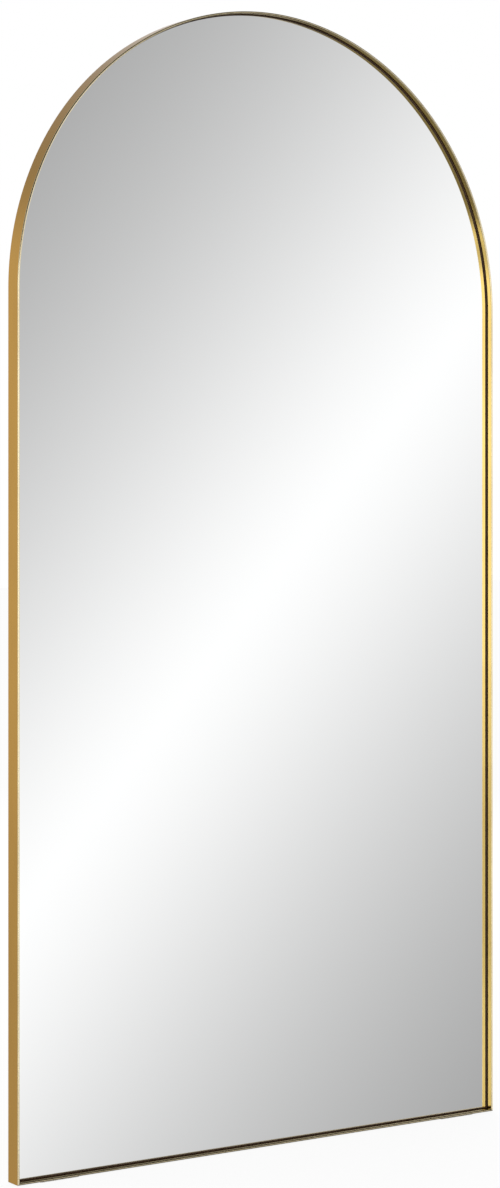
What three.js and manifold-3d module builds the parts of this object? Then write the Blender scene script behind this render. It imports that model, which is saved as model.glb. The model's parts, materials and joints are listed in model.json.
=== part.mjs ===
// Arched leaning floor mirror with a deep, thin-edged metal frame, in millimetres.
//
// +Z is up and the mirror faces -Y. The origin is on the floor, midway across the width and the depth.
// The frame is one long extrusion bent into two jambs and a half-round arch, closed by a straight bottom rail
// with mitred ends. From front to back the frame holds an edge gasket, the silvered glass, foam mounting tape
// and a back board. Screws through the frame's rear flange hold the board. Two swinging D-rings let it hang.
import * as THREE from "three";
import Module from "manifold-3d";
import { mergeVertices } from "three/addons/utils/BufferGeometryUtils.js";

// ---------------------------------------------------------------- driving dimensions

const overallWidth = 914;
const overallHeight = 1803;

// Frame extrusion: an outer wall, a thin front face, an inner wall and a rear flange.
const frameDepth = 30;
const faceWidth = 3.5;
const wallThickness = 1;
const edgeRadius = 1.2;
const flangeReach = 18.5;
const flangeThickness = 2;
const mitreGap = 0.3;

// What the frame holds, from front to back.
const glassRecess = 13;
const glassThickness = 4;
const tapeThickness = 1;
const boardThickness = 5;
const seatGap = 0.3;
const glassEdgeGap = 1.1;
const boardEdgeGap = 0.7;

// Gasket between the frame's inner wall and the glass.
const gasketProud = 2.4;
const gasketLipReach = 0.4;
const gasketLipChamfer = 0.4;

// Foam tape strips behind the glass.
const tapeCount = 4;
const tapeWidth = 25;
const tapePitch = 200;
const tapeMargin = 45;

// Corner key, a bent strip inside the slot of the extrusion, and corner brace, a flat plate on the flange.
const keyLeg = 45;
const keyHeight = 20;
const keyEndRadius = 0.15;
const braceLeg = 70;
const braceWidth = 14;
const braceThickness = 1.5;
const braceEndRadius = 3;

// Screws. Every tip stops short of the board's front face.
const screwRadius = 1.75;
const screwHeadRadius = 3.5;
const screwHeadHeight = 2;
const screwHeadSide = 0.9;
const screwCrownRadius = 2.45;
const screwCrownDrop = 0.2;
const screwTipCover = 1.2;
const screwEdgeMargin = 7;
const archScrewCount = 6;
const jambScrewCount = 4;
const railScrewCount = 3;
const railScrewPitch = 240;
const jambScrewEndGap = 28;

// Hanger: a folded strap and a wire D-ring that swings in its fold.
const wireRadius = 1.5;
const ringHalfWidth = 9.5;
const ringDrop = 13.5;
const ringCornerRadius = 3;
const wireEndGap = 0.4;
const strapWidth = 12;
const strapThickness = 1.2;
const strapNeckDrop = 2;
const strapNeckAngle = 54;
const strapScrewPitch = 13;
const strapScrewMargin = 6.5;
const ringScrewGap = 1;
const hangerBelowSpring = 60;

// Soft pieces. The bumpers stand proud of the frame's rear edge, so that the wall meets them first.
const bumperRadius = 6;
const bumperShoulderRadius = 5.6;
const bumperTopRadius = 4.4;
const bumperSkirt = 1.75;
const bumperShoulderDrop = 2.1;
const bumperProud = 3.2;
const bumperRise = 36;
const bumperArchAngle = 60;
const padLength = 70;
const padWidth = 26;
const padThickness = 1;
const padInset = 75;
const padCornerRadius = 6;

// Fineness of the round forms.
const arcSteps = 64;
const screwSides = 10;
const bumperSides = 20;
const wireSides = 8;
const ringSteps = 44;
const roundedCornerSteps = 4;
const faceEdgeSteps = 3;

// How far a cutter runs past each face of what it cuts.
const cutterOverrun = 1;

// ---------------------------------------------------------------- places worked out from them

const halfWidth = overallWidth / 2;
const frameBottom = padThickness + seatGap;
const springHeight = overallHeight - halfWidth;
const slotWidth = faceWidth - 2 * wallThickness;

// Depths count back from the front face of the frame.
const glassFront = glassRecess;
const glassRear = glassFront + glassThickness;
const tapeFront = glassRear + seatGap;
const boardFront = tapeFront + tapeThickness + seatGap;
const boardRear = boardFront + boardThickness;
const flangeFront = boardRear + seatGap;
const flangeRear = flangeFront + flangeThickness;
const onFlange = flangeRear + seatGap;
const onBrace = onFlange + braceThickness + seatGap;
const onStrap = onFlange + 2 * strapThickness + seatGap;
const screwTip = boardFront + screwTipCover;
const rearmost = frameDepth + bumperProud;
const bumperHeight = rearmost - onFlange;
const atDepth = (depth) => depth - rearmost / 2;

// Insets count inward from the frame's outer outline.
const flangeMiddle = faceWidth + flangeReach / 2;
const glassInset = faceWidth + glassEdgeGap;
const boardInset = faceWidth + boardEdgeGap;

// ---------------------------------------------------------------- materials

const finish = (color, roughness, metalness) =>
  new THREE.MeshStandardMaterial({ color, roughness, metalness });
const gold = finish(0xc79f58, 0.3, 1);
const silvered = finish(0xe8eaea, 0.02, 1);
const blackRubber = finish(0x161616, 0.75, 0);
const paleFoam = finish(0xd9d7d0, 0.95, 0);
const blackBoard = finish(0x1d1c1b, 0.8, 0);
const zincSteel = finish(0xb4b6b8, 0.35, 1);
const paleSilicone = finish(0xdcdcd8, 0.4, 0);

// ---------------------------------------------------------------- solids

const wasm = await Module();
wasm.setup();

const model = new THREE.Group();

function add(name, geometry, material) {
  const mesh = new THREE.Mesh(geometry, material);
  mesh.name = name;
  model.add(mesh);
  return mesh;
}

// A closed geometry as a solid that can be cut or joined.
function solidOf(geometry) {
  const bare = geometry.clone();
  bare.deleteAttribute("normal");
  bare.deleteAttribute("uv");
  const welded = mergeVertices(bare, 1e-4);
  return new wasm.Manifold(
    new wasm.Mesh({
      numProp: 3,
      vertProperties: welded.attributes.position.array,
      triVerts: new Uint32Array(welded.index.array),
    }),
  );
}

function geometryOf(solid) {
  const mesh = solid.getMesh();
  const geometry = new THREE.BufferGeometry();
  geometry.setAttribute("position", new THREE.BufferAttribute(mesh.vertProperties, 3));
  geometry.setIndex(new THREE.BufferAttribute(mesh.triVerts, 1));
  geometry.computeVertexNormals();
  return geometry;
}

function cut(geometry, cutters) {
  let solid = solidOf(geometry);
  for (const cutter of cutters) solid = solid.subtract(solidOf(cutter));
  return geometryOf(solid);
}

// A flat outline in X and Z, drawn as a shape in x and y, thickened from one depth to another.
// An arc in it is drawn with twice as many chords as its curve segments.
function plate(shape, frontDepth, rearDepth, curveSegments = arcSteps / 2) {
  const geometry = new THREE.ExtrudeGeometry(shape, {
    depth: rearDepth - frontDepth,
    bevelEnabled: false,
    curveSegments,
  });
  return geometry.rotateX(Math.PI / 2).translate(0, atDepth(rearDepth), 0);
}

// Joins the section's points from station to station. An open run gets an end cap at each end.
function loft(stations, sectionPoints, closed) {
  const count = sectionPoints.length;
  const positions = stations.flat().flatMap((p) => [p.x, p.y, p.z]);
  const indices = [];
  const spans = closed ? stations.length : stations.length - 1;
  for (let i = 0; i < spans; i++) {
    const here = i * count;
    const next = ((i + 1) % stations.length) * count;
    for (let j = 0; j < count; j++) {
      const k = (j + 1) % count;
      indices.push(here + j, next + j, next + k);
      indices.push(here + j, next + k, here + k);
    }
  }
  if (!closed) {
    const last = (stations.length - 1) * count;
    for (const [a, b, c] of THREE.ShapeUtils.triangulateShape(sectionPoints, [])) {
      indices.push(a, b, c);
      indices.push(last + a, last + c, last + b);
    }
  }
  const geometry = new THREE.BufferGeometry();
  geometry.setAttribute("position", new THREE.Float32BufferAttribute(positions, 3));
  geometry.setIndex(indices);
  const solid = solidOf(geometry);
  if (solid.volume() < 0) {
    for (let i = 0; i < indices.length; i += 3) {
      [indices[i + 1], indices[i + 2]] = [indices[i + 2], indices[i + 1]];
    }
    geometry.setIndex(indices);
  }
  geometry.computeVertexNormals();
  return geometry;
}

// ---------------------------------------------------------------- outlines

// The arched outline, brought in from the frame's outer edge by an inset.
function archShape(inset) {
  const side = halfWidth - inset;
  const shape = new THREE.Shape();
  shape.moveTo(-side, frameBottom + inset);
  shape.lineTo(side, frameBottom + inset);
  shape.lineTo(side, springHeight);
  shape.absarc(0, springHeight, side, 0, Math.PI, false);
  return shape;
}

// Points in X and Z along the jambs and the arch at an inset, from the left foot over to the right foot.
function archRun(inset, footLift) {
  const side = halfWidth - inset;
  const foot = frameBottom + inset + footLift;
  const points = [new THREE.Vector2(-side, foot)];
  for (let i = 0; i <= arcSteps; i++) {
    const angle = Math.PI * (1 - i / arcSteps);
    points.push(
      new THREE.Vector2(side * Math.cos(angle), springHeight + side * Math.sin(angle)),
    );
  }
  points.push(new THREE.Vector2(side, foot));
  return points;
}

// Lays a section, drawn as inset and depth, along runs made for each inset.
function stationsAlong(sectionPoints, runAtInset) {
  const runs = sectionPoints.map((p) => runAtInset(p.x));
  return runs[0].map((_, i) =>
    sectionPoints.map((p, j) => new THREE.Vector3(runs[j][i].x, atDepth(p.y), runs[j][i].y)),
  );
}

// ---------------------------------------------------------------- frame

// The section: x is the inset and y the depth. Its slot is open to the rear, between the walls.
function frameSection() {
  const inner = faceWidth - wallThickness;
  const section = new THREE.Shape();
  section.moveTo(0, frameDepth);
  section.lineTo(0, edgeRadius);
  section.absarc(edgeRadius, edgeRadius, edgeRadius, Math.PI, 1.5 * Math.PI, false);
  section.lineTo(faceWidth - edgeRadius, 0);
  section.absarc(
    faceWidth - edgeRadius,
    edgeRadius,
    edgeRadius,
    -0.5 * Math.PI,
    0,
    false,
  );
  section.lineTo(faceWidth, flangeFront);
  section.lineTo(faceWidth + flangeReach, flangeFront);
  section.lineTo(faceWidth + flangeReach, flangeRear);
  section.lineTo(inner, flangeRear);
  section.lineTo(inner, wallThickness);
  section.lineTo(wallThickness, wallThickness);
  section.lineTo(wallThickness, frameDepth);
  return section.extractPoints(faceEdgeSteps).shape;
}

const mitreShift = mitreGap / Math.SQRT2;

function archFrame() {
  const section = frameSection();
  const stations = stationsAlong(section, (inset) => archRun(inset, mitreShift));
  return loft(stations, section, false);
}

function bottomRail() {
  const section = frameSection();
  const railRun = (inset) => {
    const end = halfWidth - inset - mitreShift;
    const height = frameBottom + inset;
    return [new THREE.Vector2(-end, height), new THREE.Vector2(end, height)];
  };
  return loft(stationsAlong(section, railRun), section, false);
}

// An L in X and Z with its outer corner at an inset from the frame's own corner.
function cornerShape(side, inset, width, leg, endRadius) {
  const shape = new THREE.Shape();
  const x = (along) => side * (halfWidth - inset - along);
  const z = (along) => frameBottom + inset + along;
  shape.moveTo(x(0), z(0));
  shape.lineTo(x(leg - endRadius), z(0));
  shape.quadraticCurveTo(x(leg), z(0), x(leg), z(endRadius));
  shape.lineTo(x(leg), z(width - endRadius));
  shape.quadraticCurveTo(x(leg), z(width), x(leg - endRadius), z(width));
  shape.lineTo(x(width), z(width));
  shape.lineTo(x(width), z(leg - endRadius));
  shape.quadraticCurveTo(x(width), z(leg), x(width - endRadius), z(leg));
  shape.lineTo(x(endRadius), z(leg));
  shape.quadraticCurveTo(x(0), z(leg), x(0), z(leg - endRadius));
  shape.closePath();
  return shape;
}

function cornerKey(side) {
  const thickness = slotWidth - 2 * seatGap;
  const inset = wallThickness + seatGap;
  const front = wallThickness + seatGap;
  const shape = cornerShape(side, inset, thickness, keyLeg, keyEndRadius);
  return plate(shape, front, front + keyHeight, roundedCornerSteps);
}

// ---------------------------------------------------------------- screws and their holes

// Each place is x, z, and the depth of the face that the screw's head bears on.
const places = { board: [], brace: [], hanger: [] };

const braceInset = flangeMiddle - braceWidth / 2;
const braceTop = frameBottom + braceInset + braceLeg;
const jambBumperHeight = braceTop + bumperRise;
const barHeight = springHeight - hangerBelowSpring;
const nearScrewDrop = ringDrop + wireRadius + ringScrewGap + screwHeadRadius;
const farScrewDrop = nearScrewDrop + strapScrewPitch;
const strapLength = farScrewDrop + strapScrewMargin;
const jambX = halfWidth - flangeMiddle;
const railZ = frameBottom + flangeMiddle;

for (const side of [-1, 1]) {
  const lowest = jambBumperHeight + jambScrewEndGap;
  const highest = barHeight - strapLength - jambScrewEndGap;
  for (let i = 0; i < jambScrewCount; i++) {
    const z = THREE.MathUtils.lerp(lowest, highest, i / Math.max(1, jambScrewCount - 1));
    places.board.push({ x: side * jambX, z, head: onFlange });
  }
}
for (let i = 0; i < archScrewCount; i++) {
  const angle = (Math.PI * (i + 0.5)) / archScrewCount;
  places.board.push({
    x: jambX * Math.cos(angle),
    z: springHeight + jambX * Math.sin(angle),
    head: onFlange,
  });
}
for (let i = 0; i < railScrewCount; i++) {
  const x = (i - (railScrewCount - 1) / 2) * railScrewPitch;
  places.board.push({ x, z: railZ, head: onFlange });
}
for (const side of [-1, 1]) {
  for (const along of [braceWidth + screwEdgeMargin, braceLeg - screwEdgeMargin]) {
    const reach = braceInset + along;
    places.brace.push({ x: side * jambX, z: frameBottom + reach, head: onBrace });
    places.brace.push({ x: side * (halfWidth - reach), z: railZ, head: onBrace });
  }
}
for (const side of [-1, 1]) {
  for (const drop of [nearScrewDrop, farScrewDrop]) {
    places.hanger.push({ x: side * jambX, z: barHeight - drop, head: onStrap });
  }
}
const allPlaces = [...places.board, ...places.brace, ...places.hanger];

// A round cutter along the depth at a screw's place.
function holeAt(place, frontDepth, rearDepth) {
  const radius = screwRadius + seatGap;
  const cutter = new THREE.CylinderGeometry(
    radius,
    radius,
    rearDepth - frontDepth,
    screwSides,
  );
  return cutter.translate(place.x, atDepth((frontDepth + rearDepth) / 2), place.z);
}

// Cutters for through holes at some of the screws' places, between the depths of a plate's two faces.
function holesThrough(somePlaces, frontDepth, rearDepth) {
  return somePlaces.map((place) =>
    holeAt(place, frontDepth - cutterOverrun, rearDepth + cutterOverrun),
  );
}

// A pan-head screw. Its head's underside is at the local origin and its tip points to the front.
function screwGeometry(length) {
  const profile = [
    [0, -length],
    [screwRadius, -length],
    [screwRadius, 0],
    [screwHeadRadius, 0],
    [screwHeadRadius, screwHeadSide],
    [screwCrownRadius, screwHeadHeight - screwCrownDrop],
    [0, screwHeadHeight],
  ].map(([r, y]) => new THREE.Vector2(r, y));
  return new THREE.LatheGeometry(profile, screwSides);
}

// The mitre line parts the rail's places from the arch frame's.
const onRail = (place) => place.z - frameBottom < halfWidth - Math.abs(place.x);
const railHoles = holesThrough(allPlaces.filter(onRail), flangeFront, flangeRear);
const frameHoles = holesThrough(
  allPlaces.filter((place) => !onRail(place)),
  flangeFront,
  flangeRear,
);

add("arch_frame", cut(archFrame(), frameHoles), gold);
add("bottom_rail", cut(bottomRail(), railHoles), gold);

for (const [side, word] of [
  [-1, "left"],
  [1, "right"],
]) {
  add(`corner_key_${word}`, cornerKey(side), zincSteel);
  const braceShape = cornerShape(side, braceInset, braceWidth, braceLeg, braceEndRadius);
  const braceRear = onFlange + braceThickness;
  const brace = plate(braceShape, onFlange, braceRear, roundedCornerSteps);
  const ownHoles = places.brace.filter((p) => Math.sign(p.x) === side);
  const holes = holesThrough(ownHoles, onFlange, braceRear);
  add(`corner_brace_${word}`, cut(brace, holes), zincSteel);
}

// ---------------------------------------------------------------- glass, gasket, tape and board

add("mirror_glass", plate(archShape(glassInset), glassFront, glassRear), silvered);

// The gasket is an L: a leg beside the glass and a lip over its front edge.
function gasketSection() {
  const outer = faceWidth + seatGap;
  const legInner = glassInset - seatGap;
  const lipInner = glassInset + gasketLipReach;
  const top = glassFront - gasketProud;
  const underLip = glassFront - seatGap;
  return [
    [outer, top],
    [lipInner - gasketLipChamfer, top],
    [lipInner, top + gasketLipChamfer],
    [lipInner, underLip],
    [legInner, underLip],
    [legInner, glassRear],
    [outer, glassRear],
  ].map(([inset, depth]) => new THREE.Vector2(inset, depth));
}

function edgeGasket() {
  const section = gasketSection();
  return loft(
    stationsAlong(section, (inset) => archRun(inset, 0)),
    section,
    true,
  );
}

add("edge_gasket", edgeGasket(), blackRubber);

// Each strip runs from the tape margin above the rail to the same margin under the arch.
for (let i = 0; i < tapeCount; i++) {
  const x = (i - (tapeCount - 1) / 2) * tapePitch;
  const outerX = Math.abs(x) + tapeWidth / 2;
  const archRadius = halfWidth - glassInset - tapeMargin;
  const top = springHeight + Math.sqrt(Math.max(0, archRadius ** 2 - outerX ** 2));
  const bottom = frameBottom + glassInset + tapeMargin;
  const strip = new THREE.BoxGeometry(tapeWidth, tapeThickness, top - bottom);
  strip.translate(x, atDepth(tapeFront + tapeThickness / 2), (top + bottom) / 2);
  add(`mounting_tape_${i + 1}`, strip, paleFoam);
}

// The board's holes are blind: they start in front of the screws' tips and open to the rear.
const boardHoles = allPlaces.map((p) =>
  holeAt(p, screwTip - seatGap, boardRear + cutterOverrun),
);
add("back_board", cut(plate(archShape(boardInset), boardFront, boardRear), boardHoles), blackBoard);

for (const [kind, list] of Object.entries(places)) {
  list.forEach((place, i) => {
    const screw = add(`${kind}_screw_${i + 1}`, screwGeometry(place.head - screwTip), zincSteel);
    screw.position.set(place.x, atDepth(place.head), place.z);
  });
}

// ---------------------------------------------------------------- hangers

// The bar of the D-ring lies in the strap's fold, clear of it by the seat gap all round.
const foldInner = wireRadius + seatGap;
const foldOuter = foldInner + strapThickness;
const barDepth = onFlange + foldOuter;

// The strap seen from its side: x runs to the rear and y up, from the bar's axis.
function strapSideShape() {
  const rearFace = -foldOuter + 2 * strapThickness;
  const neck = -THREE.MathUtils.degToRad(strapNeckAngle);
  const shape = new THREE.Shape();
  shape.moveTo(-foldOuter, -strapLength);
  shape.lineTo(-foldOuter, 0);
  shape.absarc(0, 0, foldOuter, Math.PI, neck, true);
  shape.lineTo(rearFace, -foldOuter - strapNeckDrop);
  shape.lineTo(rearFace, -strapLength);
  shape.closePath();
  const eye = new THREE.Path();
  eye.absarc(0, 0, foldInner, 0, 2 * Math.PI, false);
  shape.holes.push(eye);
  return shape;
}

function hangerStrap(side) {
  const folded = new THREE.ExtrudeGeometry(strapSideShape(), {
    depth: strapWidth,
    bevelEnabled: false,
    curveSegments: 2 * wireSides,
  });
  folded.translate(0, 0, -strapWidth / 2);
  const turned = new THREE.Matrix4().makeBasis(
    new THREE.Vector3(0, 1, 0),
    new THREE.Vector3(0, 0, 1),
    new THREE.Vector3(1, 0, 0),
  );
  folded.applyMatrix4(turned);
  folded.translate(side * jambX, atDepth(barDepth), barHeight);

  // Seen from the rear the strap's tail is half round. The outline clears the fold on its other sides.
  const outline = new THREE.Shape();
  const half = strapWidth / 2;
  const tail = barHeight - strapLength + half;
  const clear = foldOuter + cutterOverrun;
  outline.moveTo(side * jambX + half, barHeight + clear);
  outline.lineTo(side * jambX - half, barHeight + clear);
  outline.lineTo(side * jambX - half, tail);
  outline.absarc(side * jambX, tail, half, Math.PI, 2 * Math.PI, false);
  outline.closePath();
  const seen = plate(outline, barDepth - clear, barDepth + clear, roundedCornerSteps);

  const ownHoles = places.hanger.filter((p) => Math.sign(p.x) === side);
  const holes = holesThrough(ownHoles, onFlange, onFlange + 2 * strapThickness);
  return cut(geometryOf(solidOf(folded).intersect(solidOf(seen))), holes);
}

// The D-ring is bent from one wire, flat in X and Z, whose ends meet in the middle of its bar on the X axis.
function dRing() {
  const bend = new THREE.Path();
  const straight = ringHalfWidth - ringCornerRadius;
  const sag = ringDrop - ringCornerRadius;
  bend.moveTo(wireEndGap / 2, 0);
  bend.lineTo(straight, 0);
  bend.absarc(straight, -ringCornerRadius, ringCornerRadius, Math.PI / 2, 0, true);
  bend.absellipse(0, -ringCornerRadius, ringHalfWidth, sag, 0, Math.PI, true);
  bend.absarc(-straight, -ringCornerRadius, ringCornerRadius, Math.PI, Math.PI / 2, true);
  bend.lineTo(-wireEndGap / 2, 0);
  const points = bend.getSpacedPoints(ringSteps);
  const path = new THREE.CatmullRomCurve3(points.map((p) => new THREE.Vector3(p.x, 0, p.y)));
  const wire = new THREE.Shape();
  wire.absarc(0, 0, wireRadius, 0, 2 * Math.PI, false);
  return new THREE.ExtrudeGeometry(wire, {
    steps: ringSteps,
    bevelEnabled: false,
    curveSegments: wireSides / 2,
    extrudePath: path,
  });
}

// At rest the ring hangs over the strap and its bow lies a seat gap off the strap's rear face.
const bowDepth = onFlange + 2 * strapThickness + seatGap + wireRadius;
const restTilt = Math.asin((bowDepth - barDepth) / ringDrop);

for (const [side, word] of [
  [-1, "left"],
  [1, "right"],
]) {
  add(`hanger_strap_${word}`, hangerStrap(side), zincSteel);
  const ring = add(`hanger_ring_${word}`, dRing(), zincSteel);
  ring.position.set(side * jambX, atDepth(barDepth), barHeight);
  ring.rotation.x = restTilt;
}

// ---------------------------------------------------------------- bumpers and floor pads

// A bumper stands on the flange and tapers to a flat top, which the wall meets.
function bumperGeometry() {
  const profile = [
    [0, 0],
    [bumperRadius, 0],
    [bumperRadius, bumperSkirt],
    [bumperShoulderRadius, bumperHeight - bumperShoulderDrop],
    [bumperTopRadius, bumperHeight],
    [0, bumperHeight],
  ].map(([r, y]) => new THREE.Vector2(r, y));
  return new THREE.LatheGeometry(profile, bumperSides);
}

const archAngle = THREE.MathUtils.degToRad(bumperArchAngle);
const bumperPlaces = {
  lower: [jambX, jambBumperHeight],
  upper: [jambX * Math.cos(archAngle), springHeight + jambX * Math.sin(archAngle)],
};
for (const [level, [x, z]] of Object.entries(bumperPlaces)) {
  for (const [side, word] of [
    [-1, "left"],
    [1, "right"],
  ]) {
    const bumper = add(`wall_bumper_${level}_${word}`, bumperGeometry(), blackRubber);
    bumper.position.set(side * x, atDepth(onFlange), z);
  }
}

// A thin pad with rounded corners under each end of the rail.
function padGeometry() {
  const x = padLength / 2;
  const y = padWidth / 2;
  const r = padCornerRadius;
  const shape = new THREE.Shape();
  shape.moveTo(x - r, -y);
  shape.absarc(x - r, r - y, r, -Math.PI / 2, 0, false);
  shape.absarc(x - r, y - r, r, 0, Math.PI / 2, false);
  shape.absarc(r - x, y - r, r, Math.PI / 2, Math.PI, false);
  shape.absarc(r - x, r - y, r, Math.PI, 1.5 * Math.PI, false);
  shape.closePath();
  return new THREE.ExtrudeGeometry(shape, {
    depth: padThickness,
    bevelEnabled: false,
    curveSegments: roundedCornerSteps,
  });
}

for (const [side, word] of [
  [-1, "left"],
  [1, "right"],
]) {
  const pad = add(`floor_pad_${word}`, padGeometry(), paleSilicone);
  pad.position.set(side * (halfWidth - padInset), atDepth(frameDepth / 2), 0);
}

export default model;
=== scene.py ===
"""Dresses an arched leaning floor mirror: its gold frame, glass, rear hardware and a plain studio."""
import json
import math

import bmesh
import bpy
from mathutils import Matrix, Vector


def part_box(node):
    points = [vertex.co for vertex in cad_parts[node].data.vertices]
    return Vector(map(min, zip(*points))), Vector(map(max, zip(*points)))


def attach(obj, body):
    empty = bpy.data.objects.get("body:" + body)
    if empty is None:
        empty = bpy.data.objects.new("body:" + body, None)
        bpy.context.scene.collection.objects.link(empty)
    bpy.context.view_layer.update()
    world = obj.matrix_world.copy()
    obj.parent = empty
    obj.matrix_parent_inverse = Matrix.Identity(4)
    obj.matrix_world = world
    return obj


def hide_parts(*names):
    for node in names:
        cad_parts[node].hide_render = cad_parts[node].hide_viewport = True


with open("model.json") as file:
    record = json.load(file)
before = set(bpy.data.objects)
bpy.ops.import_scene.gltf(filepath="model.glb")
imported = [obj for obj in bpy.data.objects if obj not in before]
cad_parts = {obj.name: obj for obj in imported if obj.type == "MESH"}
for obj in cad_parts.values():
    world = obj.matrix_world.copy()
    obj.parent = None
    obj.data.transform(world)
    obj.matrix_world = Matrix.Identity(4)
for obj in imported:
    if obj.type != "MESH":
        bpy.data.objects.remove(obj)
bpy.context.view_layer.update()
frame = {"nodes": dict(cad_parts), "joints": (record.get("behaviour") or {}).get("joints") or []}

bl_info = {
    "name": "Arched Floor Mirror",
    "version": (1, 0, 0),
    "blender": (4, 5, 0),
    "location": "View3D > Sidebar > Floor Mirror",
    "description": "Builds the finish, hardware and studio of an arched floor mirror",
    "category": "Add Mesh",
}

SIDES = ("left", "right")
MM = 0.001

# How finely the round forms are cut.
FILLET_STEPS = 5
LIP_STEPS = 4
DOME_STEPS = 8
BEND_STEPS = 8
BOW_STEPS = 48
WIRE_SIDES = 20
SCREW_SIDES = 32
BUMPER_SIDES = 48

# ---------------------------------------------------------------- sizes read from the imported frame

# Depths run along Y, from the front to the rear. An inset is measured inwards from the frame's outer face.
arch_low, arch_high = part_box("arch_frame")
rail_low, rail_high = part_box("bottom_rail")
half_width = arch_high.x
spring = arch_high.z - half_width
foot = rail_low.z
front, rear = arch_low.y, arch_high.y
flange_reach = rail_high.z - foot
glass_front, glass_rear = (corner.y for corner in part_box("mirror_glass"))
glass_inset = half_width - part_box("mirror_glass")[1].x

# Pieces that touch are packed with this gap, so the flange's faces lie a gap off the pieces on them.
seat_gap = 0.3 * MM
flange_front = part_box("back_board")[1].y + seat_gap
flange_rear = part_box("corner_brace_left")[0].y - seat_gap

# Where each moving body turns, by the body's name.
pivots = {joint["child"]: Vector(joint["pos_m"]) for joint in frame["joints"]}


# ---------------------------------------------------------------- settings

def srgb(red, green, blue):
    """A colour given as it is seen on a screen, 0 to 255, as the linear values that a shader takes."""
    def linear(part):
        part /= 255
        return part / 12.92 if part <= 0.04045 else ((part + 0.055) / 1.055) ** 2.4
    return tuple(linear(part) for part in (red, green, blue))


def length(name, description, default):
    return bpy.props.FloatProperty(
        name=name, description=description, default=default, min=0, unit="LENGTH", precision=5
    )


def position(name, description, default):
    return bpy.props.FloatVectorProperty(
        name=name, description=description, default=default, size=3, subtype="TRANSLATION", unit="LENGTH"
    )


def angle(name, description, degrees):
    return bpy.props.FloatProperty(
        name=name, description=description, default=math.radians(degrees), subtype="ANGLE"
    )


def share(name, description, default, high=1.0):
    return bpy.props.FloatProperty(
        name=name, description=description, default=default, min=0, max=high, subtype="FACTOR"
    )


def power(name, description, default):
    return bpy.props.FloatProperty(
        name=name, description=description, default=default, min=0, unit="POWER"
    )


def colour(name, description, default):
    return bpy.props.FloatVectorProperty(
        name=name, description=description, default=default, min=0, max=1, size=3, subtype="COLOR"
    )


class FrameSizes(bpy.types.PropertyGroup):
    """Sizes of the extrusion, the glass and the gasket"""

    face_width: length("Face width", "Width of the frame's front face", 3.5 * MM)
    wall: length("Wall", "Thickness of the extrusion's walls", 1 * MM)
    edge_radius: length("Edge radius", "Rounding of the front face's two edges", 1.7 * MM)
    inner_radius: length("Small radius", "Rounding of the extrusion's other edges", 0.25 * MM)
    mitre_gap: length("Mitre gap", "Hairline left between the mitred ends", 0.12 * MM)
    chamfer: length("Chamfer", "Chamfer round both faces of the glass", 0.15 * MM)
    lip_reach: length("Lip reach", "How far the gasket's lip covers the glass", 0.4 * MM)
    lip_radius: length("Lip radius", "Rounding of the gasket's lip", 0.45 * MM)
    seal_radius: length("Seal radius", "Rounding of the gasket's other edges", 0.1 * MM)
    arch_steps: bpy.props.IntProperty(
        name="Arch steps", description="Segments along the half-round arch", default=192, min=24
    )


class HardwareSizes(bpy.types.PropertyGroup):
    """Sizes of the screws, the D-rings, the bumpers and the rounded edges of the fittings"""

    head_radius: length("Head radius", "Radius of a screw's pan head", 3.5 * MM)
    head_height: length("Head height", "Height of a screw's pan head", 2 * MM)
    head_rim: share("Head rim", "Height at which the head's dome starts, against the head's", 0.35)
    head_base: share("Head base", "Radius of the head's underside, against the head's", 0.97)
    shank_radius: length("Shank radius", "Radius of a screw's shank", 1.75 * MM)
    recess_width: length("Recess width", "Width of one arm of the cross recess", 0.75 * MM)
    recess_depth: length("Recess depth", "Depth of the cross recess", 1.2 * MM)
    recess_reach: share("Recess reach", "Length of the recess's arms, against the head's radius", 0.58)
    recess_floor: share("Recess floor", "Size of the recess's floor, against its mouth", 0.55)
    screw_turn: angle("Screw turn", "Turn of each screw's recess against the one before", 37)
    wire_radius: length("Wire radius", "Radius of the D-ring's wire", 1.5 * MM)
    ring_half_width: length("Ring half width", "Half of the D-ring's width, to the wire's middle", 9.5 * MM)
    ring_drop: length("Ring drop", "Height of the D-ring, bar to bow", 13.5 * MM)
    ring_corner: length("Ring corner", "Bend radius at the ends of the D-ring's bar", 3 * MM)
    wire_end_gap: length("Wire end gap", "Gap between the wire's ends in the bar", 0.4 * MM)
    bumper_top: share("Bumper top", "Radius of a bumper's flat top, against its base", 0.733)
    bumper_lip: length("Bumper lip", "Rounding of a bumper's top edge", 0.5 * MM)
    brace_bevel: length("Brace bevel", "Rounding of the corner braces' edges", 0.25 * MM)
    strap_bevel: length("Strap bevel", "Rounding of the hanger straps' edges", 0.15 * MM)
    pad_bevel: length("Pad bevel", "Rounding of the floor pads' edges", 0.2 * MM)


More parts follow.
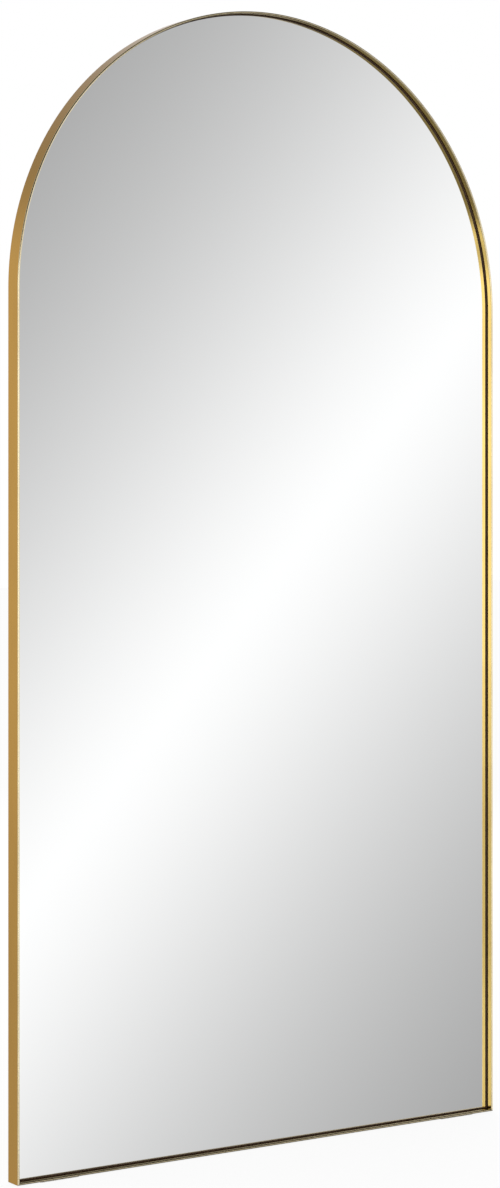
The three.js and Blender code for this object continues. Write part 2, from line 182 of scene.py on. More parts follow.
class Finishes(bpy.types.PropertyGroup):
    """Colours of the finishes"""

    gold: colour("Gold", "Brushed gold of the frame", srgb(200, 174, 100))
    # Painted shade: a darker copy of the gold for the outer wall, standing in for the dim studio that this
    # wall reflects.
    gold_side_painted_shade: colour("Gold, outer side", "Deeper gold of the outer wall", srgb(183, 139, 57))
    # Painted highlight: a paler, near-white copy of the gold for the narrow front face, standing in for the
    # white studio shining off it.
    gold_face_painted_highlight: colour("Gold, face", "Paler gold of the narrow front face", srgb(246, 230, 190))
    gold_worn: colour("Gold, worn", "Nicks along the outer front edge", srgb(236, 222, 190))
    silver: colour("Silver", "Silvering seen through the glass", (0.955, 0.96, 0.96))
    glass_edge: colour("Glass edge", "Green of the glass's cut edge", srgb(96, 134, 118))
    backing: colour("Backing", "Protective paint on the rear of the glass", srgb(92, 98, 98))
    # The gasket is real rubber, but its dark warm brown is partly painted: painted shade of the gap between
    # frame and glass, and a painted reflection of the gold walls.
    gasket: colour("Gasket", "Rubber of the edge gasket", srgb(62, 38, 14))
    board: colour("Board", "Black face of the back board", srgb(44, 42, 40))
    board_fibre: colour("Board, fibres", "Paler fibres in the board's face", srgb(64, 61, 57))
    board_scuff: colour("Board, scuffs", "Scuffs on the board's face", srgb(86, 82, 77))
    board_edge: colour("Board, edge", "Brown cut edge of the board", srgb(112, 84, 58))
    foam: colour("Foam", "Foam of the mounting tape", srgb(222, 220, 212))
    # Painted shade: a darker tone for the pits of the foam.
    foam_pit_shade: colour("Foam, cells", "Open cells of the foam", srgb(188, 185, 174))
    zinc: colour("Zinc", "Zinc plating of the steel parts", srgb(196, 199, 204))
    zinc_spangle: colour("Zinc, spangle", "Yellowish crystals in the plating", srgb(206, 196, 168))
    zinc_mark: colour("Zinc, marks", "Handling marks on the plating", srgb(140, 142, 146))
    rubber: colour("Rubber", "Rubber of the bumpers", srgb(32, 32, 33))
    silicone: colour("Silicone", "Pale silicone of the floor pads", srgb(222, 222, 218))


class Studio(bpy.types.PropertyGroup):
    """The camera, the lamps and the surroundings that metal and glass show"""

    azimuth: angle("Azimuth", "Turn of the camera to the left of the mirror's front", 34.171)
    camera_place: position(
        "Camera place", "Camera's place from the middle of the front face's foot", (-2.448, -3.5503, 1.0004)
    )
    lens: bpy.props.FloatProperty(
        name="Lens", description="Focal length on a sensor 36 mm high", default=82.22, min=1
    )
    shift: bpy.props.FloatProperty(
        name="Shift", description="Drop of the view with the camera kept level", default=-0.065
    )
    world_light: share("World light", "Strength of the world on matt surfaces", 0.82, 2.0)
    floor_tone: share("Floor tone", "Paleness of the floor under its light", 0.95)
    floor_white: share("Floor white", "How far the camera sees the floor as plain white", 0.88)
    key_place: position("Key place", "Place of the key lamp", (-3.2, -3.4, 3.6))
    key_size: length("Key size", "Side of the key lamp", 2.4)
    key_power: power("Key power", "Power of the key lamp", 95)
    fill_place: position("Fill place", "Place of the rear fill lamp", (2.6, 3.4, 3.0))
    fill_size: length("Fill size", "Side of the rear fill lamp", 2.6)
    fill_power: power("Fill power", "Power of the rear fill lamp", 60)
    band_tilt: angle("Band tilt", "Tilt of the soft band of light that the glass shows", 37.29)
    band_shift: angle("Band shift", "Shift of the band across its length", -1.18)
    band_width: angle("Band width", "Fall-off of the band to each side", 7.545)
    band_spacing: angle("Band spacing", "Half the spacing of neighbouring bands", 11.49)
    band_power: bpy.props.FloatProperty(
        name="Band power", description="Steepness of the fall-off", default=1.406, min=0.5, max=4
    )
    band_dark: share("Band dark", "Brightness between the bands", 0.231)
    band_bright: share("Band bright", "Brightness of the bands' middle", 1.045, 2.0)
    beside: share("Beside", "Brightness of the studio beside the bands", 0.95, 4.0)
    beside_end: angle("Beside end", "Turn at which that brightness ends on the left", -60)
    side_light: share("Side light", "Brightness of the studio to the far left", 0.35)
    glow: share("Glow", "Brightness of the soft box that the right jamb's inner wall shows", 2.3, 4.0)
    glow_turn: angle("Glow turn", "Turn of that soft box", -25)
    dip: share("Dip", "Dimming of a level strip across the soft box", 0.58)
    dip_climb: angle("Dip climb", "Climb of that strip", -8.5)
    ceiling: angle("Ceiling", "Climb above which the studio is dark", 11.2)
    ceiling_light: share("Ceiling light", "Brightness of the studio's ceiling in front", 0.05)
    ground: angle("Ground", "Climb below which the studio is dim", -14.6)
    ground_left: share("Ground left", "Brightness of the studio's ground to the left", 0.32)
    ground_right: share("Ground right", "Brightness of the studio's ground to the right", 0.08)
    rear_high: share("Rear high", "Brightness of the upper backdrop", 0.55)
    rear_low: share("Rear low", "Brightness of the lower backdrop", 0.78)
    rear_ground: share("Rear ground", "Brightness of the ground behind, against the backdrop", 0.15)


class MirrorSettings(bpy.types.PropertyGroup):
    """Everything that can be set on the floor mirror"""

    frame_sizes: bpy.props.PointerProperty(type=FrameSizes)
    hardware: bpy.props.PointerProperty(type=HardwareSizes)
    finishes: bpy.props.PointerProperty(type=Finishes)
    studio: bpy.props.PointerProperty(type=Studio)


def settings():
    return bpy.context.scene.floor_mirror


# ---------------------------------------------------------------- shader maths

class Value:
    """A shader socket on which Python's arithmetic adds Math nodes."""

    def __init__(self, shader, socket):
        self.shader = shader
        self.socket = socket

    def output(self, name):
        """Another output of the same node."""
        return Value(self.shader, self.socket.node.outputs[name])

    def math(self, operation, *others):
        """A Math node whose first term is this value."""
        return self.shader.math(operation, self, *others)

    def __add__(self, other):
        return self.math("ADD", other)

    __radd__ = __add__

    def __sub__(self, other):
        return self.math("SUBTRACT", other)

    def __rsub__(self, other):
        return self.shader.math("SUBTRACT", other, self)

    def __mul__(self, other):
        return self.math("MULTIPLY", other)

    __rmul__ = __mul__

    def __truediv__(self, other):
        return self.math("DIVIDE", other)

    def __pow__(self, other):
        return self.math("POWER", other)

    def apart(self, other):
        """The distance between this value and another, never negative."""
        return (self - other).math("ABSOLUTE")

    def rise(self, start, end):
        """0 before start and 1 after end, with a smooth step between."""
        inputs = {"Value": self, "From Min": start, "From Max": end}
        return self.shader.node("ShaderNodeMapRange", inputs, interpolation_type="SMOOTHSTEP")

    def fall(self, start, end):
        """1 before start and 0 after end, with a smooth step between."""
        return 1 - self.rise(start, end)


def blend(first, second, factor):
    """The first value where the factor is 0, the second where it is 1."""
    return first + (second - first) * factor


class Shader:
    """A node tree that is filled in by expressions."""

    def __init__(self, tree):
        self.tree = tree
        tree.nodes.clear()

    def node(self, kind, inputs=None, output=0, **choices):
        """Adds a node, sets its choices, then its sockets, and returns one of its outputs."""
        made = self.tree.nodes.new(kind)
        for name, value in choices.items():
            setattr(made, name, value)
        for key, value in (inputs or {}).items():
            if isinstance(value, Value):
                self.tree.links.new(value.socket, made.inputs[key])
            else:
                made.inputs[key].default_value = value
        return Value(self, made.outputs[output]) if made.outputs else None

    def math(self, operation, *terms):
        return self.node("ShaderNodeMath", dict(enumerate(terms)), operation=operation)

    def mix(self, factor, first, second):
        """A colour between two colours. Its sockets go by number, because several share a name."""
        inputs = {0: factor, 6: opaque(first), 7: opaque(second)}
        return self.node("ShaderNodeMix", inputs, 2, data_type="RGBA")

    def place(self):
        """The point on the piece, in the piece's own axes, as three values."""
        point = self.node("ShaderNodeTexCoord", output="Object")
        x = self.node("ShaderNodeSeparateXYZ", {"Vector": point})
        return x, x.output("Y"), x.output("Z")

    def vector(self, x, y, z):
        return self.node("ShaderNodeCombineXYZ", {"X": x, "Y": y, "Z": z})

    def noise(self, vector, scale, detail=2.0, roughness=0.5):
        inputs = {"Vector": vector, "Scale": scale, "Detail": detail, "Roughness": roughness}
        return self.node("ShaderNodeTexNoise", inputs)

    def bump(self, height, strength, distance):
        inputs = {"Height": height, "Strength": strength, "Distance": distance}
        return self.node("ShaderNodeBump", inputs)

    def emission(self, tone):
        return self.node("ShaderNodeEmission", {"Color": tone, "Strength": 1.0})

    def show(self, surface):
        """Makes a surface what the material shows."""
        self.node("ShaderNodeOutputMaterial", {"Surface": surface})

    def principled(self, **inputs):
        """Shows a Principled surface. Words in the names are joined by underscores."""
        named = {name.replace("_", " "): value for name, value in inputs.items()}
        self.show(self.node("ShaderNodeBsdfPrincipled", named))


def opaque(tone):
    """A colour as its socket takes it: a Value as it is, and three parts with an alpha of 1."""
    return tone if isinstance(tone, Value) else (*tone, 1.0)


def new_material(name):
    made = bpy.data.materials.new(name)
    made.use_nodes = True
    return made, Shader(made.node_tree)


# ---------------------------------------------------------------- finishes

def gold_finish(name, bent):
    """Brushed gold. Its fine lines follow the bent band, or run straight along the rail. The outer wall is
    painted a deeper gold as painted shade, and the front face a paler gold as a painted highlight.
    """
    made, shader = new_material(name)
    finish = settings().finishes
    radius = settings().frame_sizes.edge_radius
    x, y, z = shader.place()
    if bent:
        lift = (z - spring).math("MAXIMUM", 0)
        across = (x * x + lift * lift).math("SQRT")
        turn = lift.math("ARCTAN2", x.math("ABSOLUTE"))
        along = (z - spring).math("MINIMUM", 0) + turn * half_width
        inset = half_width - across
    else:
        along = x
        inset = z - foot

    def grain(scale_along, scale_across, detail, roughness=0.5):
        point = shader.vector(along * scale_along, inset * scale_across, y * scale_across)
        return shader.noise(point, scale=1.0, detail=detail, roughness=roughness)

    lines = grain(45, 5200, detail=3.0, roughness=0.6)
    clouds = grain(9, 60, detail=3.0)
    nicks = grain(900, 900, detail=4.0, roughness=0.7)

    # Mask of the front face, where the highlight is painted.
    face_highlight_mask = y.fall(front + 0.55 * radius, front + 1.1 * radius)
    # Mask of the outer wall, which gets the painted shade; it also keeps the nicks to the outer edge.
    outside = inset.fall(0.1 * MM, 0.4 * MM)
    near_edge = y.apart(front + radius).fall(0, 0.7 * radius) * outside
    worn = 0.6 * near_edge * nicks.rise(0.62, 0.74)
    clouded = 0.22 * clouds.rise(0.35, 0.8)
    deeper = tuple(0.8 * part for part in finish.gold_side_painted_shade)

    # Painted shade: the outer wall takes the darker gold.
    body = shader.mix(outside, finish.gold, finish.gold_side_painted_shade)
    # Painted highlight: the front face takes the pale gold.
    body = shader.mix(face_highlight_mask, body, finish.gold_face_painted_highlight)
    body = shader.mix(clouded, body, deeper)
    body = shader.mix(worn, body, finish.gold_worn)
    shader.principled(
        Base_Color=body,
        Metallic=1.0,
        Roughness=0.13 + 0.1 * lines + 0.04 * clouds,
        Normal=shader.bump(lines, strength=0.12, distance=0.03 * MM),
    )
    return made


def silvered_glass():
    """Silvering in front, grey paint behind and green glass at the cut edge."""
    made, shader = new_material("silvered_glass")
    finish = settings().finishes
    x, y, z = shader.place()
    skin = 0.4 * MM
    silver = y.fall(glass_front + skin, glass_front + 2 * skin)
    paint = y.rise(glass_rear - 2 * skin, glass_rear - skin)
    haze = shader.noise(shader.vector(x, y, z), scale=3.0, detail=4.0)
    speckle = shader.noise(shader.vector(x, y, z), scale=900.0)
    polished = 0.012 + 0.006 * haze
    dull = 0.25 + 0.3 * paint * speckle

    body = shader.mix(paint, finish.glass_edge, finish.backing)
    body = shader.mix(silver, body, finish.silver)
    shader.principled(Base_Color=body, Metallic=silver, Roughness=silver * polished + (1 - silver) * dull)
    return made


def zinc_finish():
    """Bright zinc plating with a faint spangle and handling marks, made once for all the steel parts."""
    name = "zinc_plate"
    if name in bpy.data.materials:
        return bpy.data.materials[name]
    made, shader = new_material(name)
    finish = settings().finishes
    point = shader.vector(*shader.place())
    spangle = shader.noise(point, scale=450.0, detail=3.0)
    marks = shader.noise(point, scale=2600.0, detail=4.0, roughness=0.7)
    body = shader.mix(0.3 * spangle.rise(0.45, 0.7), finish.zinc, finish.zinc_spangle)
    body = shader.mix(0.5 * marks.rise(0.6, 0.8), body, finish.zinc_mark)
    shader.principled(
        Base_Color=body,
        Metallic=1.0,
        Roughness=0.26 + 0.2 * spangle,
        Normal=shader.bump(marks, strength=0.15, distance=0.03 * MM),
    )
    return made


def rubber_finish(name, tone, grain):
    """Matt rubber with a fine moulded grain and a little dust."""
    made, shader = new_material(name)
    point = shader.vector(*shader.place())
    fine = shader.noise(point, scale=grain, detail=3.0, roughness=0.6)
    dust = shader.noise(point, scale=0.03 * grain, detail=3.0)
    dusty = tuple(min(1.0, part * 2.2 + 0.01) for part in tone)
    shader.principled(
        Base_Color=shader.mix(0.35 * dust.rise(0.45, 0.8), tone, dusty),
        Roughness=0.58 + 0.2 * fine,
        Normal=shader.bump(fine, strength=0.25, distance=0.05 * MM),
    )
    return made


def board_finish():
    """Black-faced fibre board: short pressed fibres, faint scuffs and a brown cut edge."""
    made, shader = new_material("back_board_black")
    finish = settings().finishes
    low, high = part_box("back_board")
    x, y, z = shader.place()
    short = shader.vector(x * 260, y * 900, z * 900)
    upright = shader.vector(x * 5, y * 5, z * 2)
    fibres = shader.noise(short, scale=1.0, detail=4.0, roughness=0.7)
    scuffs = shader.noise(upright, scale=1.0, detail=6.0, roughness=0.65)
    skin, core = 0.3 * MM, 0.6 * MM
    cut_edge = y.rise(low.y + skin, low.y + core) * y.fall(high.y - core, high.y - skin)
    body = shader.mix(0.5 * fibres.rise(0.35, 0.75), finish.board, finish.board_fibre)
    body = shader.mix(0.35 * scuffs.rise(0.55, 0.8), body, finish.board_scuff)
    body = shader.mix(cut_edge, body, finish.board_edge)
    shader.principled(
        Base_Color=body,
        Roughness=0.68 + 0.2 * fibres,
        Normal=shader.bump(fibres, strength=0.35, distance=0.12 * MM),
    )
    return made


def foam_finish():
    """Open-celled foam of the mounting tape, with painted shade in its pits."""
    made, shader = new_material("foam_tape_pale")
    finish = settings().finishes
    point = shader.vector(*shader.place())
    cells = shader.node("ShaderNodeTexVoronoi", {"Vector": point, "Scale": 2200.0}, "Distance")
    shader.principled(
        # The pits of the foam, low in the bump, are painted darker as painted shade.
        Base_Color=shader.mix(0.4 * cells.fall(0.1, 0.5), finish.foam, finish.foam_pit_shade),
        Roughness=0.92,
        Normal=shader.bump(cells, strength=0.4, distance=0.15 * MM),
    )
    return made


# ---------------------------------------------------------------- meshes

def fillet(corners, steps=FILLET_STEPS):
    """A closed section from corners of inset, depth and radius, with each corner rounded by its radius."""
    points = []
    for i, (inset, depth, radius) in enumerate(corners):
        corner = Vector((inset, depth))
        before = (Vector(corners[i - 1][:2]) - corner).normalized()
        after = (Vector(corners[(i + 1) % len(corners)][:2]) - corner).normalized()
        half = before.angle(after) / 2
        reach = radius / math.tan(half)
        middle = corner + (before + after).normalized() * (radius / math.sin(half))
        start = corner + before * reach - middle
        end = corner + after * reach - middle
        sweep = start.angle_signed(end)
        for k in range(steps + 1):
            points.append(middle + Matrix.Rotation(-sweep * k / steps, 2) @ start)
    return points


def finished_mesh(name, shape, sharp_degrees=35):
    """A mesh from a bmesh, faces out and smooth except at its sharp edges."""
    bmesh.ops.recalc_face_normals(shape, faces=shape.faces)
    mesh = bpy.data.meshes.new(name)
    shape.to_mesh(mesh)
    shape.free()
    mesh.shade_smooth()
    mesh.set_sharp_from_angle(angle=math.radians(sharp_degrees))
    return mesh


def lofted(name, stations, closed):
    """Skins a run of equal rings of points. An open run is capped at both ends."""
    shape = bmesh.new()
    rings = [[shape.verts.new(point) for point in station] for station in stations]
    count = len(rings[0])
    for i in range(len(rings) if closed else len(rings) - 1):
        here, there = rings[i], rings[(i + 1) % len(rings)]
        for j in range(count):
            k = (j + 1) % count
            shape.faces.new((here[j], there[j], there[k], here[k]))
    if not closed:
        for ring in (rings[0], rings[-1]):
            cap = shape.faces.new(ring)
            bmesh.ops.triangulate(shape, faces=[cap])
    return finished_mesh(name, shape)


def turned(name, profile, sides):
    """Turns a profile of radius and height about the Y axis. Its ends lie on the axis."""
    shape = bmesh.new()
    verts = [shape.verts.new((radius, height, 0)) for radius, height in profile]
    edges = [shape.edges.new(pair) for pair in zip(verts, verts[1:])]
    bmesh.ops.spin(
        shape, geom=verts + edges, cent=(0, 0, 0), axis=(0, 1, 0),
        angle=2 * math.pi, steps=sides, use_merge=True,
    )
    bmesh.ops.remove_doubles(shape, verts=shape.verts, dist=0.001 * MM)
    return finished_mesh(name, shape, sharp_degrees=30)


def carve(mesh, cutter_mesh):
    """The mesh with the cutter taken out of it."""
    body = bpy.data.objects.new("carved", mesh)
    cutter = bpy.data.objects.new("cutter", cutter_mesh)
    for made in (body, cutter):
        bpy.context.scene.collection.objects.link(made)
    boolean = body.modifiers.new("carve", "BOOLEAN")
    boolean.object = cutter
    boolean.solver = "EXACT"
    evaluated = body.evaluated_get(bpy.context.evaluated_depsgraph_get())
    result = bpy.data.meshes.new_from_object(evaluated)
    for made in (body, cutter):
        bpy.data.objects.remove(made)
    result.shade_smooth()
    result.set_sharp_from_angle(angle=math.radians(30))
    return result


# ---------------------------------------------------------------- pieces

def add_piece(name, mesh, material, body, node):
    """Adds a mesh as a piece that rides on a body and stands for a CAD node."""
    piece = bpy.data.objects.new(name, mesh)
    bpy.context.scene.collection.objects.link(piece)
    mesh.materials.clear()
    mesh.materials.append(material)
    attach(piece, body)
    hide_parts(node)
    return piece


def keep_flat(piece):
    """Lets the large flat faces set the normals, so that only the rounded edges shade as round."""
    weighted = piece.modifiers.new("weighted", "WEIGHTED_NORMAL")
    weighted.mode = "FACE_AREA"
    weighted.weight = 100
    weighted.keep_sharp = True


def dress(node, material, bevel=0.0):
    """Gives a CAD node its material and, where asked, rounded edges."""
    piece = frame["nodes"][node]
    piece.data.materials.clear()
    piece.data.materials.append(material)
    if bevel:
        weld = piece.modifiers.new("weld", "WELD")
        weld.merge_threshold = 0.005 * MM
        rounded = piece.modifiers.new("rounded", "BEVEL")
        rounded.width = bevel
        rounded.segments = 2
        rounded.limit_method = "ANGLE"
        rounded.angle_limit = math.radians(40)


def arch_run(inset, foot_lift=0.0):
    """Points in X and Z up the left jamb, over the arch and down the right jamb, at an inset."""
    steps = settings().frame_sizes.arch_steps
    radius = half_width - inset
    foot_height = foot + inset + foot_lift
    arc = [math.pi * (1 - i / steps) for i in range(steps + 1)]
    over = [(radius * math.cos(turn), spring + radius * math.sin(turn)) for turn in arc]
    return [(-radius, foot_height), *over, (radius, foot_height)]


def rail_run(inset, mitre_shift):
    """The two ends, in X and Z, of a line along the rail at an inset."""
    end = half_width - inset - mitre_shift
    return [(-end, foot + inset), (end, foot + inset)]


def stations_along(section, run):
    """Lays a section of insets and depths along the run that each inset gives."""
    runs = [run(point.x) for point in section]
    return [
        [Vector((x, point.y, z)) for point, (x, z) in zip(section, station)]
        for station in zip(*runs)
    ]


def frame_section():
    """The extrusion's section, slotted from the rear: outer wall, face, inner wall and rear flange."""
    sizes = settings().frame_sizes
    face, wall, small = sizes.face_width, sizes.wall, sizes.inner_radius
    return fillet([
        (0, rear, small),
        (0, front, sizes.edge_radius),
        (face, front, sizes.edge_radius),
        (face, flange_front, small),
        (flange_reach, flange_front, small),
        (flange_reach, flange_rear, small),
        (face - wall, flange_rear, small),
        (face - wall, front + wall, small),
        (wall, front + wall, small),
        (wall, rear, small),
    ])


class FLOORMIRROR_OT_frame(bpy.types.Operator):
    """Build the bent gold band and its mitred bottom rail"""

    bl_idname = "floor_mirror.frame"
    bl_label = "Gold Frame"

    def execute(self, context):
        section = frame_section()
        shift = settings().frame_sizes.mitre_gap / math.sqrt(2)
        band = stations_along(section, lambda inset: arch_run(inset, shift))
        rail = stations_along(section, lambda inset: rail_run(inset, shift))
        bent = gold_finish("brushed_gold_band", True)
        straight = gold_finish("brushed_gold_rail", False)
        for name, stations, material, node in (
            ("gold_band", band, bent, "arch_frame"),
            ("gold_rail", rail, straight, "bottom_rail"),
        ):
            mesh = lofted(name, stations, False)
            keep_flat(add_piece(name, mesh, material, "mirror", node))
        return {"FINISHED"}


def pane_mesh():
    """The pane of glass, chamfered round both faces."""
    chamfer = settings().frame_sizes.chamfer
    edge = (
        (glass_inset + chamfer, glass_front),
        (glass_inset, glass_front + chamfer),
        (glass_inset, glass_rear - chamfer),
        (glass_inset + chamfer, glass_rear),
    )
    outlines = [[Vector((x, depth, z)) for x, z in arch_run(inset)] for inset, depth in edge]
    return lofted("silvered_pane", outlines, False)


def seal_mesh():
    """The gasket: a leg between the glass's edge and the frame, and a rounded lip over the glass."""
    sizes = settings().frame_sizes
    small = sizes.seal_radius
    low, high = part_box("edge_gasket")
    outer = half_width - high.x
    lip = glass_inset + sizes.lip_reach
    leg = glass_inset - seat_gap
    lip_rear = glass_front - seat_gap
    section = fillet([
        (outer, low.y, 2 * small),
        (lip, low.y, sizes.lip_radius),
        (lip, lip_rear, small),
        (leg, lip_rear, small / 2),
        (leg, high.y, small),
        (outer, high.y, small),
    ], LIP_STEPS)
    return lofted("gasket_seal", stations_along(section, arch_run), True)


class FLOORMIRROR_OT_glass(bpy.types.Operator):
    """Build the silvered glass and the gasket round it; the gasket's dark brown adds painted shade and a
    painted reflection of the gold
    """

    bl_idname = "floor_mirror.glass"
    bl_label = "Glass and Gasket"

    def execute(self, context):
        add_piece("silvered_pane", pane_mesh(), silvered_glass(), "mirror", "mirror_glass")
        # The gasket's brown colour carries painted shade and a painted reflection of the gold.
        rubber = rubber_finish("gasket_rubber", settings().finishes.gasket, grain=3500.0)
        keep_flat(add_piece("gasket_seal", seal_mesh(), rubber, "mirror", "edge_gasket"))
        return {"FINISHED"}


class FLOORMIRROR_OT_backing(bpy.types.Operator):
    """Finish the back board and the foam tape between it and the glass"""

    bl_idname = "floor_mirror.backing"
    bl_label = "Board and Tape"

    def execute(self, context):
        dress("back_board", board_finish())
        foam = foam_finish()
        for node in sorted(frame["nodes"]):
            if node.startswith("mounting_tape_"):
                dress(node, foam)
        return {"FINISHED"}


class FLOORMIRROR_OT_corners(bpy.types.Operator):
    """Finish the keys and the braces of the two mitred corners"""

    bl_idname = "floor_mirror.corners"
    bl_label = "Corner Hardware"

    def execute(self, context):
        zinc = zinc_finish()
        for side in SIDES:
            dress(f"corner_key_{side}", zinc)
            dress(f"corner_brace_{side}", zinc, settings().hardware.brace_bevel)
        return {"FINISHED"}


def recess_mesh():
    """The cutter of a cross recess: a plus outline that widens from its floor to above the head."""
    sizes = settings().hardware
    wide = sizes.recess_width / 2
    long = sizes.recess_reach * sizes.head_radius
    quarter = [(wide, long), (wide, wide), (long, wide)]
    cross = [Matrix.Rotation(-math.pi / 2 * k, 2) @ Vector(point) for k in range(4) for point in quarter]
    mouth, deep, flare = sizes.head_height, sizes.recess_depth, 1.2
    levels = [(mouth - deep, sizes.recess_floor), (mouth, 1.0), (mouth + deep, flare)]
    stations = [[Vector((scale * x, level, scale * z)) for x, z in cross] for level, scale in levels]
    return lofted("recess", stations, False)


def screw_mesh(shank_length):
    """A pan-head screw with a cross recess. Its head's underside is at the origin, its tip at -Y."""
    sizes = settings().hardware
    head, height, shank = sizes.head_radius, sizes.head_height, sizes.shank_radius
    rim = sizes.head_rim * height
    turns = [math.pi / 2 * k / DOME_STEPS for k in range(DOME_STEPS)]
    dome = [(head * math.cos(turn), rim + (height - rim) * math.sin(turn)) for turn in turns]
    profile = [
        (0, -shank_length),
        (shank, -shank_length),
        (shank, 0),
        (head * sizes.head_base, 0),
        *dome,
        (0, height),
    ]
    screw = carve(turned("screw", profile, SCREW_SIDES), recess_mesh())
    if not screw.polygons:
        raise RuntimeError("the recess took the whole screw away")
    return screw


class FLOORMIRROR_OT_screws(bpy.types.Operator):
    """Build every screw with a domed head and a cross recess"""

    bl_idname = "floor_mirror.screws"
    bl_label = "Screws"

    def execute(self, context):
        zinc = zinc_finish()
        sizes = settings().hardware
        meshes = {}
        names = [node for node in sorted(frame["nodes"]) if "_screw_" in node]
        for i, node in enumerate(names):
            low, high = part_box(node)
            bearing = high.y - sizes.head_height
            shank_length = round(bearing - low.y, 6)
            if shank_length not in meshes:
                meshes[shank_length] = screw_mesh(shank_length)
            middle = (low + high) / 2
            place = Matrix.Translation((middle.x, bearing, middle.z))
            mesh = meshes[shank_length].copy()
            mesh.transform(place @ Matrix.Rotation(sizes.screw_turn * i, 4, "Y"))
            add_piece(f"cross_{node}", mesh, zinc, "mirror", node)
        return {"FINISHED"}


def ring_path():
    """The D-ring's wire from one end in the middle of the bar, round the bow and back, in X and Z."""
    sizes = settings().hardware
    corner = sizes.ring_corner
    straight = sizes.ring_half_width - corner
    sag = sizes.ring_drop - corner
    right = [(sizes.wire_end_gap / 2, 0.0)]
    for k in range(BEND_STEPS + 1):
        turn = math.pi / 2 * (1 - k / BEND_STEPS)
        right.append((straight + corner * math.cos(turn), corner * math.sin(turn) - corner))
    bow = []
    for k in range(1, BOW_STEPS):
        turn = -math.pi * k / BOW_STEPS
        bow.append((sizes.ring_half_width * math.cos(turn), sag * math.sin(turn) - corner))
    left = [(-x, z) for x, z in reversed(right)]
    return [*right, *bow, *left]


def wire_mesh(name, path, radius):
    """A round wire along points in X and Z."""
    turns = [2 * math.pi * k / WIRE_SIDES for k in range(WIRE_SIDES)]
    stations = []
    for i, (x, z) in enumerate(path):
        before = Vector(path[max(i - 1, 0)])
        after = Vector(path[min(i + 1, len(path) - 1)])
        ahead = (after - before).normalized()
        outward = Vector((-ahead.y, 0, ahead.x))
        centre = Vector((x, 0, z))
        stations.append([
            centre + radius * (math.cos(turn) * outward + math.sin(turn) * Vector((0, 1, 0)))
            for turn in turns
        ])
    return lofted(name, stations, False)


class FLOORMIRROR_OT_hangers(bpy.types.Operator):
    """Build the swinging D-rings and finish their folded straps"""

    bl_idname = "floor_mirror.hangers"
    bl_label = "Hangers"

    def execute(self, context):
        zinc = zinc_finish()
        sizes = settings().hardware
        for side in SIDES:
            dress(f"hanger_strap_{side}", zinc, sizes.strap_bevel)
            body = f"{side}_ring"
            node = f"hanger_ring_{side}"
            name = f"d_ring_{side}"
            pivot = pivots[body]
            bow_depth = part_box(node)[1].y - sizes.wire_radius
            lean = math.asin((bow_depth - pivot.y) / sizes.ring_drop)
            mesh = wire_mesh(name, ring_path(), sizes.wire_radius)
            mesh.transform(Matrix.Translation(pivot) @ Matrix.Rotation(lean, 4, "X"))
            add_piece(name, mesh, zinc, body, node)
        return {"FINISHED"}


def bumper_mesh(name, wide, tall):
    """A turned bumper: a straight skirt, a taper and a flat top with a rounded lip."""
    sizes = settings().hardware
    top, lip = sizes.bumper_top * wide, sizes.bumper_lip
    skirt, shoulder, shoulder_wide = 0.25 * tall, 0.45 * tall, 0.93 * wide
    bend = 0.7 * lip
    profile = [
        (0, 0),
        (wide, 0),
        (wide, skirt),
        (shoulder_wide, shoulder),
        (top + lip, tall - lip),
        (top + bend, tall - lip + bend),
        (top, tall),
        (0, tall),
    ]
    return turned(name, profile, BUMPER_SIDES)


class FLOORMIRROR_OT_rubber(bpy.types.Operator):
    """Build the wall bumpers and finish the floor pads"""

    bl_idname = "floor_mirror.rubber"
    bl_label = "Bumpers and Pads"

    def execute(self, context):
        finish = settings().finishes
        rubber = rubber_finish("black_rubber", finish.rubber, grain=2600.0)
        silicone = rubber_finish("pale_silicone", finish.silicone, grain=1800.0)
        for side in SIDES:
            dress(f"floor_pad_{side}", silicone, settings().hardware.pad_bevel)
            for level in ("lower", "upper"):
                node = f"wall_bumper_{level}_{side}"
                low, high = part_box(node)
                middle = (low + high) / 2
                mesh = bumper_mesh(node, (high.x - low.x) / 2, high.y - low.y)
                mesh.transform(Matrix.Translation((middle.x, low.y, middle.z)))
                add_piece(f"moulded_{node}", mesh, rubber, "mirror", node)
        return {"FINISHED"}


# ---------------------------------------------------------------- studio

FLOOR_REACH = 30
SURROUNDINGS_RADIUS = 25


def span(start, end):
    """Two angles given in degrees, between which something rises or falls."""
    return math.radians(start), math.radians(end)


# How far each part of the surroundings reaches from its middle, and where it has faded away.
DIP_REACH = span(2.5, 4)
SOFT_BOX_REACH = span(8, 12)
BANDS_REACH = span(6.5, 10)

# Half the width of the soft edge at the left end, and of the edges of the ceiling and the ground.
BESIDE_FADE = math.radians(6)
CLIMB_FADE = math.radians(0.6)

# The turns and climbs between which the surroundings go from one tone to another.
GROUND_TURNS = span(26, 38)
BACKDROP_TURNS = span(75, 100)
HIGH_CLIMBS = span(12, 35)
LOW_CLIMBS = span(-13, -4)
REAR_GROUND_CLIMBS = span(-40, -28)


def studio_world():
    """A white studio to the camera, metal and glass, and a plain level of light on matt surfaces."""
    world = bpy.data.worlds.new("studio_white")
    world.use_nodes = True
    shader = Shader(world.node_tree)
    path = shader.node("ShaderNodeLightPath", output="Is Camera Ray")
    shown = path.math("MAXIMUM", path.output("Is Glossy Ray"))
    shown = shown.math("MAXIMUM", path.output("Is Transmission Ray"))
    level = blend(settings().studio.world_light, 1, shown)
    light = shader.node("ShaderNodeBackground", {"Color": level, "Strength": 1.0})
    shader.node("ShaderNodeOutputWorld", {"Surface": light})
    bpy.context.scene.world = world


